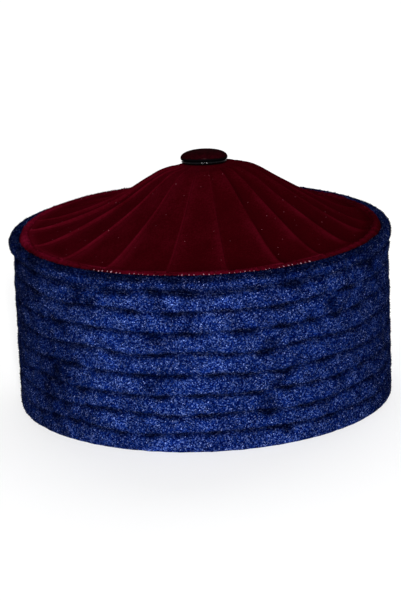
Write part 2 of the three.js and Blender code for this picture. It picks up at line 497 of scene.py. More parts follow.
def yarns(tree, place, scale, direction, **inputs):
    """Soft parallel bands."""
    inputs |= {"Vector": place, "Scale": scale}
    return node(tree, "ShaderNodeTexWave", inputs, bands_direction=direction).outputs["Fac"]


def attribute(tree, name):
    return node(tree, "ShaderNodeAttribute", attribute_name=name).outputs["Fac"]


def bump(tree, height, distance, strength):
    inputs = {"Height": height, "Distance": distance, "Strength": strength}
    return node(tree, "ShaderNodeBump", inputs).outputs["Normal"]


def speckle(tree, place, scale):
    """A random level from 0 to 1 in each cell of a fine irregular mosaic."""
    cells = node(tree, "ShaderNodeTexVoronoi", {"Vector": place, "Scale": scale}, feature="F1")
    return node(tree, "ShaderNodeSeparateColor", {"Color": cells.outputs["Color"]}).outputs["Red"]


def crushed_velvet(name, gloss):
    """Navy velvet: lighter or darker in patches and in painted shade, with painted pale highlights on some
    tufts.
    """
    material, tree, shader, place = new_material(name)
    cells = centred(tree, speckle(tree, place, scale=2000.0))
    tufts = scaled(tree, attribute(tree, "glint"), by=0.8)
    glitter = scaled(tree, cells, by=0.72, plus=tufts)
    shade_level = attribute(tree, "shade")
    # the pale top of the tuft ramp is a painted highlight
    facing = added(tree, scaled(tree, shade_level, by=0.16, plus=0.32), glitter)
    factors = {0: ramp(tree, facing, TUFT_STOPS), 1: ramp(tree, shade_level, SHADE_STOPS)}
    tint = node(tree, "ShaderNodeVectorMath", factors, operation="MULTIPLY").outputs["Vector"]
    fill_inputs(tree, shader, {
        "Base Color": tint,
        "Roughness": scaled(tree, cells, by=-0.3, plus=0.5),
        "Normal": bump(tree, cells, distance=0.0003, strength=0.8),
        "Metallic": gloss,
        "Specular IOR Level": 0.0,
        "Specular Tint": (0.05, 0.08, 0.2, 1.0),
    })
    return material


def smooth_velvet(name, stops, sheen):
    """Burgundy velvet, short even pile: soft patches, painted paler folds and darker valleys, and a little
    lint.
    """
    material, tree, shader, place = new_material(name)
    patches = centred(tree, noise(tree, place, scale=70.0, detail=3.0, roughness=0.55))
    grain = centred(tree, speckle(tree, place, scale=1900.0))
    soft = scaled(tree, patches, by=0.25, plus=0.4)
    fine = scaled(tree, grain, by=0.12, plus=soft)
    # the fold level carries painted light and shade, and the glint level random tone and painted highlights
    tuft = added(tree, attribute(tree, "glint"), fine)
    velvet = ramp(tree, added(tree, attribute(tree, "fold"), tuft), stops)
    lint_share = 0.0005
    lint = math_node(tree, "GREATER_THAN", speckle(tree, place, scale=3200.0), 1.0 - lint_share)
    inputs = {"Factor": lint, "A": velvet, "B": LINT_COLOUR}
    colour = node(tree, "ShaderNodeMix", inputs, data_type="RGBA").outputs["Result"]
    fill_inputs(tree, shader, {
        "Base Color": colour,
        "Roughness": scaled(tree, grain, by=0.2, plus=0.8),
        "Normal": bump(tree, grain, distance=0.0002, strength=0.5),
        "Specular IOR Level": 0.0,
        "Sheen Weight": sheen,
        "Sheen Roughness": 0.35,
        "Sheen Tint": (1.0, 0.0, 0.08, 1.0),
    })
    return material


def backing_cloth(name, dark, light):
    """The plain woven back of a velvet: fine crossing yarns."""
    material, tree, shader, place = new_material(name)
    uneven = {"Distortion": 1.2, "Detail": 1.0, "Detail Scale": 2.0}
    across = yarns(tree, place, scale=520.0, direction="Z", **uneven)
    around = yarns(tree, place, scale=430.0, direction="DIAGONAL", **uneven)
    weave = mixed(tree, across, around, share=0.5)
    slubs = noise(tree, place, scale=160.0, detail=3.0)
    colour = ramp(tree, mixed(tree, slubs, weave, share=0.5), ((0.2, dark), (0.8, light)))
    relief = bump(tree, weave, distance=0.0003, strength=0.7)
    look = {"Base Color": colour, "Normal": relief, "Roughness": 0.9, "Specular IOR Level": 0.15}
    fill_inputs(tree, shader, look)
    return material


def thread(name, dark, light):
    """Cotton sewing thread: tight twist marks and a slightly uneven colour."""
    material, tree, shader, place = new_material(name)
    twist = yarns(tree, place, scale=900.0, direction="DIAGONAL", Distortion=1.0)
    tone = noise(tree, place, scale=700.0, detail=1.0)
    colour = ramp(tree, mixed(tree, twist, tone, share=0.3), ((0.25, dark), (0.75, light)))
    relief = bump(tree, twist, distance=0.0001, strength=0.5)
    look = {"Base Color": colour, "Normal": relief, "Roughness": 0.65, "Specular IOR Level": 0.3}
    fill_inputs(tree, shader, look)
    return material


def lacquer(name, dark, light, metal, coat, roughness):
    """Polished button stock: a cloudy, specked grain under a thin clear gloss with fine scratches."""
    material, tree, shader, place = new_material(name)
    cloud = noise(tree, place, scale=420.0, detail=4.0, roughness=0.65)
    specks = centred(tree, speckle(tree, place, scale=1500.0))
    scratch = noise(tree, place, scale=1500.0)
    grain = scaled(tree, specks, by=0.3, plus=cloud)
    # the tone attribute adds painted shade, which darkens the cap towards its foot
    tone = added(tree, grain, attribute(tree, "tone"))
    colour = ramp(tree, tone, ((0.0, BUTTON_BLACK), (0.3, dark), (0.75, light)))
    fill_inputs(tree, shader, {
        "Base Color": colour,
        "Roughness": scaled(tree, scratch, by=0.15, plus=roughness),
        "Normal": bump(tree, scratch, distance=0.00003, strength=0.3),
        "Metallic": metal,
        "Specular IOR Level": 0.0,
        "Specular Tint": (0.05, 0.02, 0.02, 1.0),
        "Coat Weight": coat,
        "Coat Roughness": roughness,
    })
    return material


def mesh_piece(name, materials, points, face_sets, face_slots=None, attributes=None, normals=None):
    """An object from points in millimetres and arrays of faces, riding on the cap's one body."""
    mesh = bpy.data.meshes.new(name)
    points = np.asarray(points, dtype=np.float64).reshape(-1, 3)
    counts = np.concatenate([np.full(len(faces), faces.shape[1]) for faces in face_sets])
    corners = np.concatenate([faces.ravel() for faces in face_sets]).astype(np.int32)
    mesh.vertices.add(len(points))
    mesh.vertices.foreach_set("co", (points * MM).ravel())
    mesh.loops.add(len(corners))
    mesh.loops.foreach_set("vertex_index", corners)
    mesh.polygons.add(len(counts))
    mesh.polygons.foreach_set("loop_start", np.concatenate([[0], np.cumsum(counts)[:-1]]).astype(np.int32))
    mesh.polygons.foreach_set("use_smooth", np.full(len(counts), True))
    if face_slots is not None:
        mesh.polygons.foreach_set("material_index", np.asarray(face_slots, dtype=np.int32))
    for key, values in (attributes or {}).items():
        layer = mesh.attributes.new(key, "FLOAT", "POINT")
        layer.data.foreach_set("value", np.asarray(values, dtype=np.float32).ravel())
    for material in materials:
        mesh.materials.append(material)
    mesh.update(calc_edges=True)
    mesh.validate()
    if normals is not None:
        mesh.normals_split_custom_set_from_vertices(normals)
    piece = bpy.data.objects.new(name, mesh)
    bpy.context.scene.collection.objects.link(piece)
    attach(piece, "root")
    return piece


def unit(vectors):
    return vectors / np.linalg.norm(vectors, axis=-1, keepdims=True)


def clamp(values):
    return np.clip(values, 0.0, 1.0)


def ramp_up(values, start, width):
    """0 up to a start, and from there rising to 1 over a width."""
    return clamp((values - start) / width)


def bell(distance, width):
    """1 at no distance, and falling away over about a width."""
    return np.exp(-((distance / width) ** 2))


def fall_off(turn, at, spread):
    """1 at one turn about the axis, and falling away on both sides of it."""
    return np.exp(2.0 * (np.cos(turn - at) - 1.0) / spread**2)


def ring_points(radius, turn, height):
    x = radius * np.cos(turn)
    y = radius * np.sin(turn)
    return np.stack([x, y, np.broadcast_to(height, x.shape)], axis=-1)


def tangents(turn):
    """Level directions round the cap."""
    return np.stack([-np.sin(turn), np.cos(turn), np.zeros_like(turn)], axis=-1)


def grid_faces(around, along, closed):
    """Quads of a grid that closes round the cap and, if asked, along its section too."""
    step = np.arange(around)[:, None]
    index = np.arange(along if closed else along - 1)[None, :]
    after = (step + 1) % around
    above = (index + 1) % along
    corners = (step * along + index, after * along + index, after * along + above, step * along + above)
    return np.stack(np.broadcast_arrays(*corners), axis=-1).reshape(-1, 4)


def capped_faces(around, along):
    """Quads of an open grid, and fans that close its ends about two poles that follow the grid's points."""
    step = np.arange(around)
    after = (step + 1) % around
    pole = around * along
    last = along - 1
    low = np.stack([np.full(around, pole), after * along, step * along], axis=-1)
    high = np.stack([np.full(around, pole + 1), step * along + last, after * along + last], axis=-1)
    return [grid_faces(around, along, False), low, high]


def grid_normals(points):
    """Unit normals of a grid that closes in its first direction."""
    around = np.roll(points, -1, axis=0) - np.roll(points, 1, axis=0)
    along = np.gradient(points, axis=1)
    return unit(np.cross(around, along))


def waves(name, line=0):
    """A smooth field of unit spread, periodic round the cap: sines with whole counts of waves round it."""
    seed, count, around, along = WAVES[name]
    rng = np.random.default_rng(SEED + seed + line)
    turns = rng.integers(around[0], around[1] + 1, count)
    slants = rng.uniform(along[0], along[1], count) * rng.choice((-1.0, 1.0), count)
    phases = rng.uniform(0.0, TAU, count)

    def field(turn, height=0.0):
        total = np.zeros(np.broadcast(turn, height).shape)
        for times, slant, phase in zip(turns, slants, phases):
            total += np.sin(times * turn + slant * height + phase)
        return total * math.sqrt(2.0 / count)

    return field


def raise_rear(points):
    """The whole cap stands on a level hem and rises evenly towards the back."""
    points[..., 2] += REAR_RISE * points[..., 1] / INNER_RADIUS * points[..., 2] / BAND_HEIGHT
    return points


def stitch_wander(line):
    """How a stitch line strays from its level, in shares of the usual amount."""
    drift = waves("stitch_drift", line)
    uneven = waves("stitch_uneven", line)
    return lambda turn: drift(turn) + LINE_UNEVEN * uneven(turn)


def quilting(sideness):
    """How marked the quilting is: fully at 0, and calmer towards 1, where the sides are pulled smooth."""
    return 1.0 - SIDE_CALM * sideness**SIDE_REACH


def pressed_spots(turn, height):
    """How much the pile is pressed flat at a place on the band, from the chart of spots."""
    total = np.zeros(np.broadcast(turn, height).shape)
    for degrees, level, half_width, half_height, depth in PRESSED_SPOTS:
        aside = (turn - math.radians(degrees)) * INNER_RADIUS / half_width
        above = (height - level) / half_height
        total += depth * np.exp(-((aside**2 + above**2) ** SPOT_EDGE))
    return total


def stitched_radius(height):
    """The band's outer radius along a stitch line, before its thread draws it in."""
    return INNER_RADIUS + STITCHED_WALL + FLARE * (1.0 - height / BAND_HEIGHT) - PILE_ROOM


def quilted_rows(turn):
    """Radius, height and closeness to a stitch line, at each level of the band's rows from the hem up."""
    puff, dent, loose, stitches = map(waves, ("puff", "dent", "loose", "stitches"))
    shares = 0.5 - 0.5 * np.cos(np.pi * np.arange(ROW_STEPS) / ROW_STEPS)
    marked = quilting(np.abs(np.cos(turn)))
    levels = []
    lower = np.zeros_like(turn)
    for line, (top, padding) in enumerate(QUILT_ROWS):
        upper = top + LINE_WANDER * stitch_wander(line)(turn)
        for share in shares:
            height = lower + share * (upper - lower)
            bulge = 1.0 - abs(2.0 * share - 1.0) ** ROW_FULLNESS
            below = np.full_like(turn, NO_LINE_NEAR) if line == 0 else height - lower
            if line == 0 and share < 0.5:
                bulge = max(bulge, HEM_FULLNESS)
            near = np.minimum(below, upper - height)
            crease = bell(near, CREASE_WIDTH) * (1.0 - STITCH_MARKS + STITCH_MARKS * stitches(turn))
            fullness = 1.0 - marked * (1.0 - bulge)
            radius = stitched_radius(height)
            radius += padding * fullness * (1.0 + marked * PUFF_SHARE * puff(turn, height))
            radius += marked * (DENT_DEPTH * dent(turn, height) * bulge - CREASE_DEPTH * crease)
            radius -= SPOT_DEPTH * np.maximum(pressed_spots(turn, height), 0.0) * bulge
            if line == len(QUILT_ROWS) - 1:
                pull = (0.5 + 0.5 * np.cos(PULLS_ROUND * (turn - PULL_AT))) ** PULL_SHARPNESS
                firmness = np.clip(PULL_USUAL + PULL_SPREAD * loose(turn), 0.0, PULL_MOST)
                radius -= PULL_DEPTH * pull * firmness * share * bulge
            # painted crease shade at this level, wider below a stitch line than above it
            shaded = np.maximum(bell(below, SHADE_OVER), bell(upper - height, SHADE_UNDER))
            levels.append((radius, height, marked * shaded))
        lower = upper
    return levels


def rolled_edge(turn):
    """The same three at each level of the rolled edge, from the last stitch line over to the inside."""
    dent = waves("dent")
    wander = stitch_wander(len(QUILT_ROWS) - 1)
    marked = quilting(np.maximum(np.cos(turn), 0.0))
    levels = []
    for angle in np.linspace(ROLL_START, ROLL_END, ROLL_STEPS + 1):
        radius = INNER_RADIUS + ROLL_HALF_WIDTH * (1.0 + math.cos(angle))
        height = BAND_HEIGHT + ROLL_HALF_HEIGHT * (math.sin(angle) - 1.0)
        share = (angle - ROLL_START) / (ROLL_END - ROLL_START)
        fade = math.sin(math.pi * share)
        blend = max(0.0, 1.0 - ROLL_BLEND * share)
        radius = radius + fade * (ROLL_DENTS * DENT_DEPTH * dent(turn, height) - ROLL_PILE * PILE_ROOM)
        radius = radius - blend * (PILE_ROOM + CREASE_DEPTH * ROLL_CREASE)
        strayed = height + blend * LINE_WANDER * wander(turn)
        # the third value is painted crease shade next to the last stitch line
        levels.append((radius, strayed, blend * ROLL_CREASE_SHADE * marked))
    return levels


def sagged(radius, height, turn):
    """The rolled edge hangs outwards at the sides, where it has come loose from its shape."""
    hangs = radius > INNER_RADIUS + SAG_DEPTH
    moved = radius
    for lift, at, spread, foot, head in SAGS:
        across = fall_off(turn, math.radians(at), math.radians(spread))
        up = np.sin(np.pi * ramp_up(height, foot, head - foot))
        moved = moved + lift * across * up * hangs
    return moved


def velvet_shade(turn, height, crease):
    """How light the crushed pile looks: broad drifts, flattened patches and patchy painted shade in the
    creases.
    """
    names = ("drift", "crush", "patchy", "flat")
    drift, crush, patchy, flat = (waves(name)(turn, height) for name in names)
    dark = np.clip(PATCH_USUAL + PATCH_SPREAD * patchy, *PATCH_RANGE)
    pressed = clamp(flat - FLAT_FROM) * np.clip(FLAT_LOW + height / BAND_HEIGHT, 0.0, FLAT_MOST)
    level = VELVET_LEVEL + DRIFT_SHADE * drift + CRUSH_SHADE * crush - FLAT_SHADE * pressed
    level = level - pressed_spots(turn, height)
    # painted shade towards the left and right sides
    for side, start, full, depth in SIDE_SHADES:
        level = level - depth * ramp_up(side * np.cos(turn), start, full - start)
    # painted shade on the rolled edge under the seam, less of it at the sides
    rolled = 1.0 - ROLL_SIDE_SHARE * np.abs(np.cos(turn)) ** ROLL_SIDE_REACH
    return level - CREASE_SHADE * crease * dark - rolled * np.interp(height, *ROLL_SHADES)


def make_band(velvet, backing):
    """The quilted wall, velvet outside and over the roll, plain inside. Returns its velvet surface."""
    turn = TAU * np.arange(BAND_STEPS) / BAND_STEPS
    levels = quilted_rows(turn) + rolled_edge(turn)
    radius, height, crease = (np.stack(values, axis=1) for values in zip(*levels))
    outside = radius.shape[1]
    inside_radii = np.append(np.full(INSIDE_STEPS, INNER_RADIUS), INNER_RADIUS + HEM_ROUND)
    inside_heights = np.linspace(BAND_HEIGHT - ROLL_HALF_HEIGHT, HEM_ROUND, INSIDE_STEPS + 1)[1:]
    inside_heights = np.append(inside_heights, 0.0)
    tile = np.ones((BAND_STEPS, 1))
    radius = np.concatenate([sagged(radius, height, turn[:, None]), tile * inside_radii], axis=1)
    height = np.concatenate([height, tile * inside_heights], axis=1)
    crease = np.concatenate([crease, np.zeros((BAND_STEPS, INSIDE_STEPS + 1))], axis=1)
    points = raise_rear(ring_points(radius, turn[:, None], height))
    shade = velvet_shade(turn[:, None], height, crease)
    along = points.shape[1]
    faces = grid_faces(BAND_STEPS, along, True)
    slots = np.tile((np.arange(along) >= outside - 1).astype(np.int32), BAND_STEPS)
    slots[along - 1 :: along] = 0
    piece = mesh_piece(
        "band_quilted", (velvet, backing), points, [faces], slots, {"shade": shade}
    )
    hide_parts("band")
    reach = outside - ROLL_BARE_STEPS
    return {
        "points": points[:, :reach],
        "normals": grid_normals(points[:, :outside])[:, :reach],
        "crease": crease[:, :reach],
        "shade": shade[:, :reach],
        "attribute": "shade",
        "spread": 1.0,
    }


def between(values, step, index, fraction_round, fraction_along):
    """Values of a grid inside its cells, mixed from the four corners."""
    after = (step + 1) % values.shape[0]
    if values.ndim == 3:
        fraction_round = fraction_round[:, None]
        fraction_along = fraction_along[:, None]
    low = values[step, index] * (1.0 - fraction_round) + values[after, index] * fraction_round
    high = values[step, index + 1] * (1.0 - fraction_round) + values[after, index + 1] * fraction_round
    return low * (1.0 - fraction_along) + high * fraction_along


def clumped(rng, turn, height, size):
    """One random number in each patch of about that size, shared by the tufts in it."""
    table = rng.normal(0.0, 1.0, CLUMP_COUNT)
    aside = turn * INNER_RADIUS / size
    column = np.floor(aside + CLUMP_WARP * np.sin(height / size)).astype(np.int64)
    row = np.floor(height / size + CLUMP_WARP * np.sin(aside)).astype(np.int64)
    return table[(column * CLUMP_PRIMES[0] + row * CLUMP_PRIMES[1]) % table.size]


def make_pile(name, slot, velvet, surface, count, size, seed):
    """Tufts of pile all over a surface: each a closed spike with a lean, a shade and a light of its own."""
    rng = np.random.default_rng(SEED + seed)
    shared = np.random.default_rng(SEED + CLUMP_SEED)
    points = surface["points"]
    after = np.roll(points, -1, axis=0)
    diagonals = np.cross(after[:, 1:] - points[:, :-1], points[:, 1:] - after[:, :-1])
    area = 0.5 * np.linalg.norm(diagonals, axis=-1)
    cell = rng.choice(area.size, count, p=area.ravel() / area.sum())
    step, index = np.unravel_index(cell, area.shape)
    across = rng.random(count)
    up = rng.random(count)
    root, normal, crease, shade = (
        between(surface[key], step, index, across, up) for key in ("points", "normals", "crease", "shade")
    )
    normal = unit(normal)
    turn = np.arctan2(root[:, 1], root[:, 0])
    height = root[:, 2]

    lean_round = LEAN_SWIRL * waves("swirl_round")(turn, height)
    lean_round += LEAN_CLUMP * clumped(shared, turn, height, LEAN_PATCH)
    lean_up = -LEAN_DOWN + LEAN_SWIRL * waves("swirl_up")(turn, height)
    lean_up += LEAN_CLUMP * clumped(shared, turn, height, LEAN_PATCH)
    lean_round += rng.normal(0.0, LEAN_STRAY, count)
    lean_up += rng.normal(0.0, LEAN_STRAY, count)
    tangent = tangents(turn)
    upward = unit(np.cross(normal, tangent))
    lean = lean_round[:, None] * tangent + lean_up[:, None] * upward
    direction = unit(TUFT_STAND * normal + lean)
    length = size * rng.uniform(*TUFT_LENGTH, count) * (1.0 - CREASE_SHORT * crease)
    width = size * rng.uniform(*TUFT_WIDTH, count)

    spin = rng.uniform(0.0, TAU, count)
    foot = root - TUFT_SINK * normal
    corners = []
    for third in range(3):
        angle = spin + TAU * third / 3.0
        offset = np.cos(angle)[:, None] * tangent + np.sin(angle)[:, None] * upward
        corners.append(foot + width[:, None] * offset)
    tip = root + length[:, None] * direction
    tip[:, 2] = np.maximum(tip[:, 2], TIP_CLEARANCE)
    vertices = np.stack([*corners, tip], axis=1)
    vertices[..., 2] = np.maximum(vertices[..., 2], FLOOR_CLEARANCE)
    spike = np.array([(0, 2, 1), (0, 1, 3), (1, 2, 3), (2, 0, 3)])
    faces = (4 * np.arange(count)[:, None, None] + spike[None]).reshape(-1, 3)

    # a random tone for each tuft, and painted highlights on a few
    own = GLINT_CLUMP * clumped(shared, turn, height, GLINT_PATCH) + rng.normal(0.0, GLINT_STRAY, count)
    own += SPARK_LIGHT * (rng.random(count) < SPARK_SHARE) * (1.0 - crease)
    shades = np.repeat(shade[:, None], 4, axis=1)
    # painted shade at the foot of each tuft
    shades[:, :3] -= surface["spread"] * FOOT_SHADE
    glints = np.repeat(surface["spread"] * own[:, None], 4, axis=1)
    tilt = lean + rng.normal(0.0, 1.0, (count, 3))
    facing = np.repeat(unit(normal + TUFT_TILT * tilt), 4, axis=0)
    attributes = {surface["attribute"]: shades, "glint": glints}
    return mesh_piece(name, (velvet,), vertices, [faces], None, attributes, facing)


def fold_turns():
    """Every fold once round, with the last one again in front of the first."""
    front = np.radians(FRONT_FOLDS)
    back = front + math.pi
    return np.concatenate([[back[-1] - TAU], front, back])


def smooth_table(x, column):
    """A column of the crown's rings as a smooth curve over the share of the radius."""
    shares = np.array([ring[0] for ring in CROWN_RINGS])
    values = np.array([ring[column] for ring in CROWN_RINGS])
    slopes = np.diff(values) / np.diff(shares)
    tangent = np.concatenate([[slopes[0]], 0.5 * (slopes[1:] + slopes[:-1]), [slopes[-1]]])
    flat = slopes[1:] * slopes[:-1] <= 0.0
    tangent[1:-1][flat] = 0.0
    span = np.clip(np.searchsorted(shares, x, side="right") - 1, 0, len(slopes) - 1)
    width = shares[span + 1] - shares[span]
    t = (x - shares[span]) / width
    rise = values[span + 1] - values[span]
    left = tangent[span] * width
    right = tangent[span + 1] * width
    return values[span] + left * t + (3 * rise - 2 * left - right) * t**2 + (left + right - 2 * rise) * t**3


def rear_lift(turn):
    """How far the piping and the crown's edge stand up above the rolled edge, at the back and left."""
    return REAR_LIFT * fall_off(turn, REAR_LIFT_AT, REAR_LIFT_SPREAD)


def crown_surface(turn, lift, share):
    """Points of the crown's upper face, for a column of turns and lifts and a row of shares of the radius."""
    fold = smooth_table(share, FOLD_COLUMN) * (1.0 + SLUMP_SHARE * waves("crown_slump")(turn))
    drawn = ramp_up(share, DRAWN_FROM, DRAWN_OVER) * (rear_lift(turn) / REAR_LIFT)
    fold = fold * (1.0 - DRAWN_SHARE * drawn)
    down = ramp_up(share, LEAN_START, 1.0 - LEAN_START)
    swell = LEAN_SCALE * down * (1.0 - down) ** 2
    lean = (LEAN[0] * np.cos(turn) + LEAN[1] * np.sin(turn)) * swell
    reach = share * CROWN_RADIUS
    x = (1.0 - share) * APEX[0] + reach * np.cos(turn)
    y = (1.0 - share) * APEX[1] + reach * np.sin(turn)
    softness = SOFT_DENT * clamp(fold / SOFT_FOLD) * waves("crown_dents")(turn, reach)
    hold = clamp((TILT_REACH - share) / (TILT_REACH - SEAT_SHARE))
    raised = smooth_table(share, LIFT_COLUMN) * rear_lift(turn)
    raised += math.tan(SEAT_TILT) * (APEX[1] - y) * hold
    lip = EDGE_LIP * bell((1.0 - share) * CROWN_RADIUS, EDGE_LIP_WIDTH)
    rise = smooth_table(share, RISE_COLUMN)
    z = BAND_HEIGHT + rise + lean + raised - fold * (1.0 - lift) + softness + lip
    return raise_rear(np.stack([x, y, z], axis=-1))


def crown_light_and_shade(turn, share, before_fold, after_fold, lap):
    """Painted light and shade: paler folds, darker laps and valleys, a pale top and changes along the rim.

    The last three are turns: back from the fold in front, on from the fold behind, and across the lap.
    """
    reach = share * CROWN_RADIUS
    before = before_fold * reach
    after = after_fold * reach
    lap_width = lap * reach
    beyond = np.maximum(after - lap_width, 0.0)
    nearest = np.minimum(before, beyond)
    over_lap = clamp(after / lap_width)
    right = clamp(np.cos(turn) / FULL_SIDE)
    left = clamp(-np.cos(turn) / FULL_SIDE)
    behind = clamp(np.sin(turn)) * (1.0 - REAR_SLANT + REAR_SLANT * np.cos(turn))
    shown = clamp(1.0 - REAR_FADE * np.maximum(np.sin(turn), 0.0))
    crest = GLOW_LIGHT[0] * left * shown * bell(beyond, GLOW_WIDTH)
    crest += GLOW_LIGHT[1] * right * bell(before, GLOW_WIDTH)
    crest += GLOW_FRONT * (1.0 - left - right) * bell(nearest, GLOW_WIDTH)
    opened = ramp_up(share, GLOW_FROM[0], GLOW_FROM[1] - GLOW_FROM[0])
    crest = opened * crest + LINE_LIGHT * bell(nearest, CREST_LINE)
    crest -= LAP_DARK * left * ((beyond == 0.0) * over_lap)
    valley = right * np.exp(-beyond / VALLEY_SHADE) * over_lap**2
    valley += VALLEY_LEFT * left * np.exp(-before / VALLEY_SHADE)
    uneven = 1.0 + PAINTED_LIGHT_SPREAD * waves("crown_light_and_shade")(turn, reach)
    folded = clamp(smooth_table(share, FOLD_COLUMN))
    painted_light_and_shade = (crest - VALLEY_DARK * valley) * uneven * folded
    painted_light_and_shade += APEX_LIGHT * clamp(1.0 - share / APEX_REACH) + LEFT_LIGHT * left
    left_end = ramp_up(-np.cos(turn), *LEFT_END)
    right_end = ramp_up(np.cos(turn), *RIGHT_END)
    plain = (1.0 - left_end) * (1.0 - right_end)
    for weight, (light, width) in ((plain, RIM_GLOW), (left_end, RIM_LEFT), (right_end, RIM_RIGHT)):
        painted_light_and_shade += light * weight * (1.0 - behind) * bell((1.0 - share) * CROWN_RADIUS, width)
    return painted_light_and_shade - REAR_DARK * behind * ramp_up(share, REAR_DARK_FROM, REAR_DARK_OVER)


def make_crown(velvet, backing):
    """Twenty knife pleats: each panel climbs to its fold and drops sharply behind it."""
    folds = fold_turns()
    starts = folds[:-1]
    widths = np.diff(folds)
    lap = LAP_SHARE * np.arange(LAP_STEPS) / LAP_STEPS
    panel = LAP_SHARE + (1.0 - LAP_SHARE) * np.arange(PANEL_STEPS) / PANEL_STEPS
    climb = 1.0 - (1.0 - (panel - LAP_SHARE) / (1.0 - LAP_SHARE)) ** PANEL_RISE
    along = np.concatenate([lap, panel])
    lifts = np.concatenate([0.5 + 0.5 * np.cos(np.pi * lap / LAP_SHARE), climb])
    turn = (starts[:, None] + widths[:, None] * along).reshape(-1, 1)
    lift = np.tile(lifts, len(starts))[:, None]
    after_fold = (along * widths[:, None]).reshape(-1, 1)
    before_fold = ((1.0 - along) * widths[:, None]).reshape(-1, 1)
    lap_turn = LAP_SHARE * np.repeat(widths, len(along))[:, None]

    seat = SEAT_SHARE - SEAT_INSET
    share = np.concatenate([CENTRE_SHARES, np.linspace(seat, EDGE_SHARE, CROWN_STEPS)])[None, :]
    under_share = np.concatenate([CENTRE_SHARES[:1], np.linspace(seat, EDGE_SHARE, UNDER_STEPS)])[None, :]
    upper = crown_surface(turn, lift, share)
    under = crown_surface(turn, lift, under_share) - CLOTH * UPWARD
    section = np.concatenate([under, upper[:, ::-1]], axis=1)
    around, length = section.shape[:2]
    poles = raise_rear(np.array([[*APEX, SEAT_HEIGHT - CLOTH], [*APEX, SEAT_HEIGHT]]))
    points = np.concatenate([section.reshape(-1, 3), poles])

    # painted light and shade, read through the fold attribute
    painted_light_and_shade = crown_light_and_shade(turn, share, before_fold, after_fold, lap_turn)
    fold = np.concatenate([np.zeros(under.shape[:2]), painted_light_and_shade[:, ::-1]], axis=1)
    fold = np.append(fold, [0.0, 0.0])
    inside = under.shape[1] - 1
    slots = np.tile((np.arange(length - 1) < inside).astype(np.int32), around)
    slots = np.concatenate([slots, np.ones(around, np.int32), np.zeros(around, np.int32)])
    faces = capped_faces(around, length)
    piece = mesh_piece(
        "crown_pleated", (velvet, backing), points, faces, slots, {"fold": fold}
    )
    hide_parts("crown")
    return piece


def make_piping(velvet):
    """A velvet roll, slightly gathered along its length, that fills the seam. Returns its upper surface."""
    turn = (TAU * np.arange(PIPING_STEPS) / PIPING_STEPS)[:, None]
    angle = (TAU * np.arange(PIPING_SIDES) / PIPING_SIDES)[None, :]
    gathers = waves("gathers")(turn)
    swell = waves("swell")(turn)
    calm = 1.0 - PIPING_CALM * rear_lift(turn) / REAR_LIFT
    size = PIPING_RADIUS + calm * (PIPING_GATHER * gathers + PIPING_SWELL * swell)
    radius = PIPING_RING + size * np.cos(angle)
    spread = PIPING_SPREAD + PIPING_FOLLOW * rear_lift(turn)
    lower = clamp(-PIPING_UNDER * np.sin(angle))
    radius += spread * lower * np.maximum(np.cos(angle), 0.0)
    height = PIPING_HEIGHT + rear_lift(turn) + size * np.sin(angle)
    points = raise_rear(ring_points(radius, turn, height))
    normals = unit(ring_points(np.cos(angle), turn, np.sin(angle)))

    # painted light and shade: a lighter crest, a darker underside and outer side, and darker stretches round
    # the ring
    degrees = np.degrees(turn)
    crest = PIPING_PLAIN + (1.0 - PIPING_PLAIN) * (0.5 + 0.5 * np.cos(angle - PIPING_CREST))
    shade = PIPING_LIGHT * crest - np.interp(degrees, *PIPING_SHADES) - PIPING_DARK * lower
    shade += PIPING_UNEVEN * (gathers + swell)
    outer = ramp_up(np.cos(angle), PIPING_OUTER, 1.0 - PIPING_OUTER)
    shade -= np.interp(degrees, *PIPING_EDGES) * outer
    faces = grid_faces(PIPING_STEPS, PIPING_SIDES, True)
    piece = mesh_piece("piping_roll", (velvet,), points, [faces], None, {"fold": shade})
    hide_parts("crown_piping")
    shown = np.arange(-1, PIPING_SIDES // 2 + 2)
    return {
        "points": points[:, shown],
        "normals": normals[:, shown],
        "crease": np.zeros((PIPING_STEPS, len(shown))),
        "shade": shade[:, shown],
        "attribute": "fold",
        "spread": PIPING_TUFT_SPREAD,
    }


def turned(section, sides, ribs=0.0):
    """Points and faces of a solid turned about Z from a section that runs from the axis to the axis."""
    turn = (TAU * np.arange(sides) / sides)[:, None]
    radius, height = np.array(section[1:-1]).T
    ribbed = 1.0 + ribs * np.cos(COLLAR_RIBS * turn) / radius.max()
    rings = ring_points(radius * ribbed, turn, height)
    poles = np.array([[0.0, 0.0, section[0][1]], [0.0, 0.0, section[-1][1]]])
    return np.concatenate([rings.reshape(-1, 3), poles]), capped_faces(sides, len(radius))


def capsule(radius, length, sides, rings):
    """A closed capsule along X about the origin: its points and faces."""
    angle = np.linspace(-0.5 * math.pi, 0.5 * math.pi, rings + 2)
    height = np.copysign(0.5 * length, angle) + radius * np.sin(angle)
    points, faces = turned(np.stack([radius * np.cos(angle), height], axis=-1), sides)
    return points[:, (2, 0, 1)], faces


def strewn(template, centres, along, across, size=1.0):
    """Copies of a template, each at a centre with its X and Y axes along the two directions."""
    points, face_sets = template
    axes = np.stack([along, across, np.cross(along, across)], axis=1)
    placed = centres[:, None, :] + np.einsum("pk,nkx->npx", points, axes) * np.reshape(size, (-1, 1, 1))
    first = len(points) * np.arange(len(centres))[:, None, None]
    joined = [(first + faces).reshape(-1, faces.shape[1]) for faces in face_sets]
    return placed.reshape(-1, 3), joined


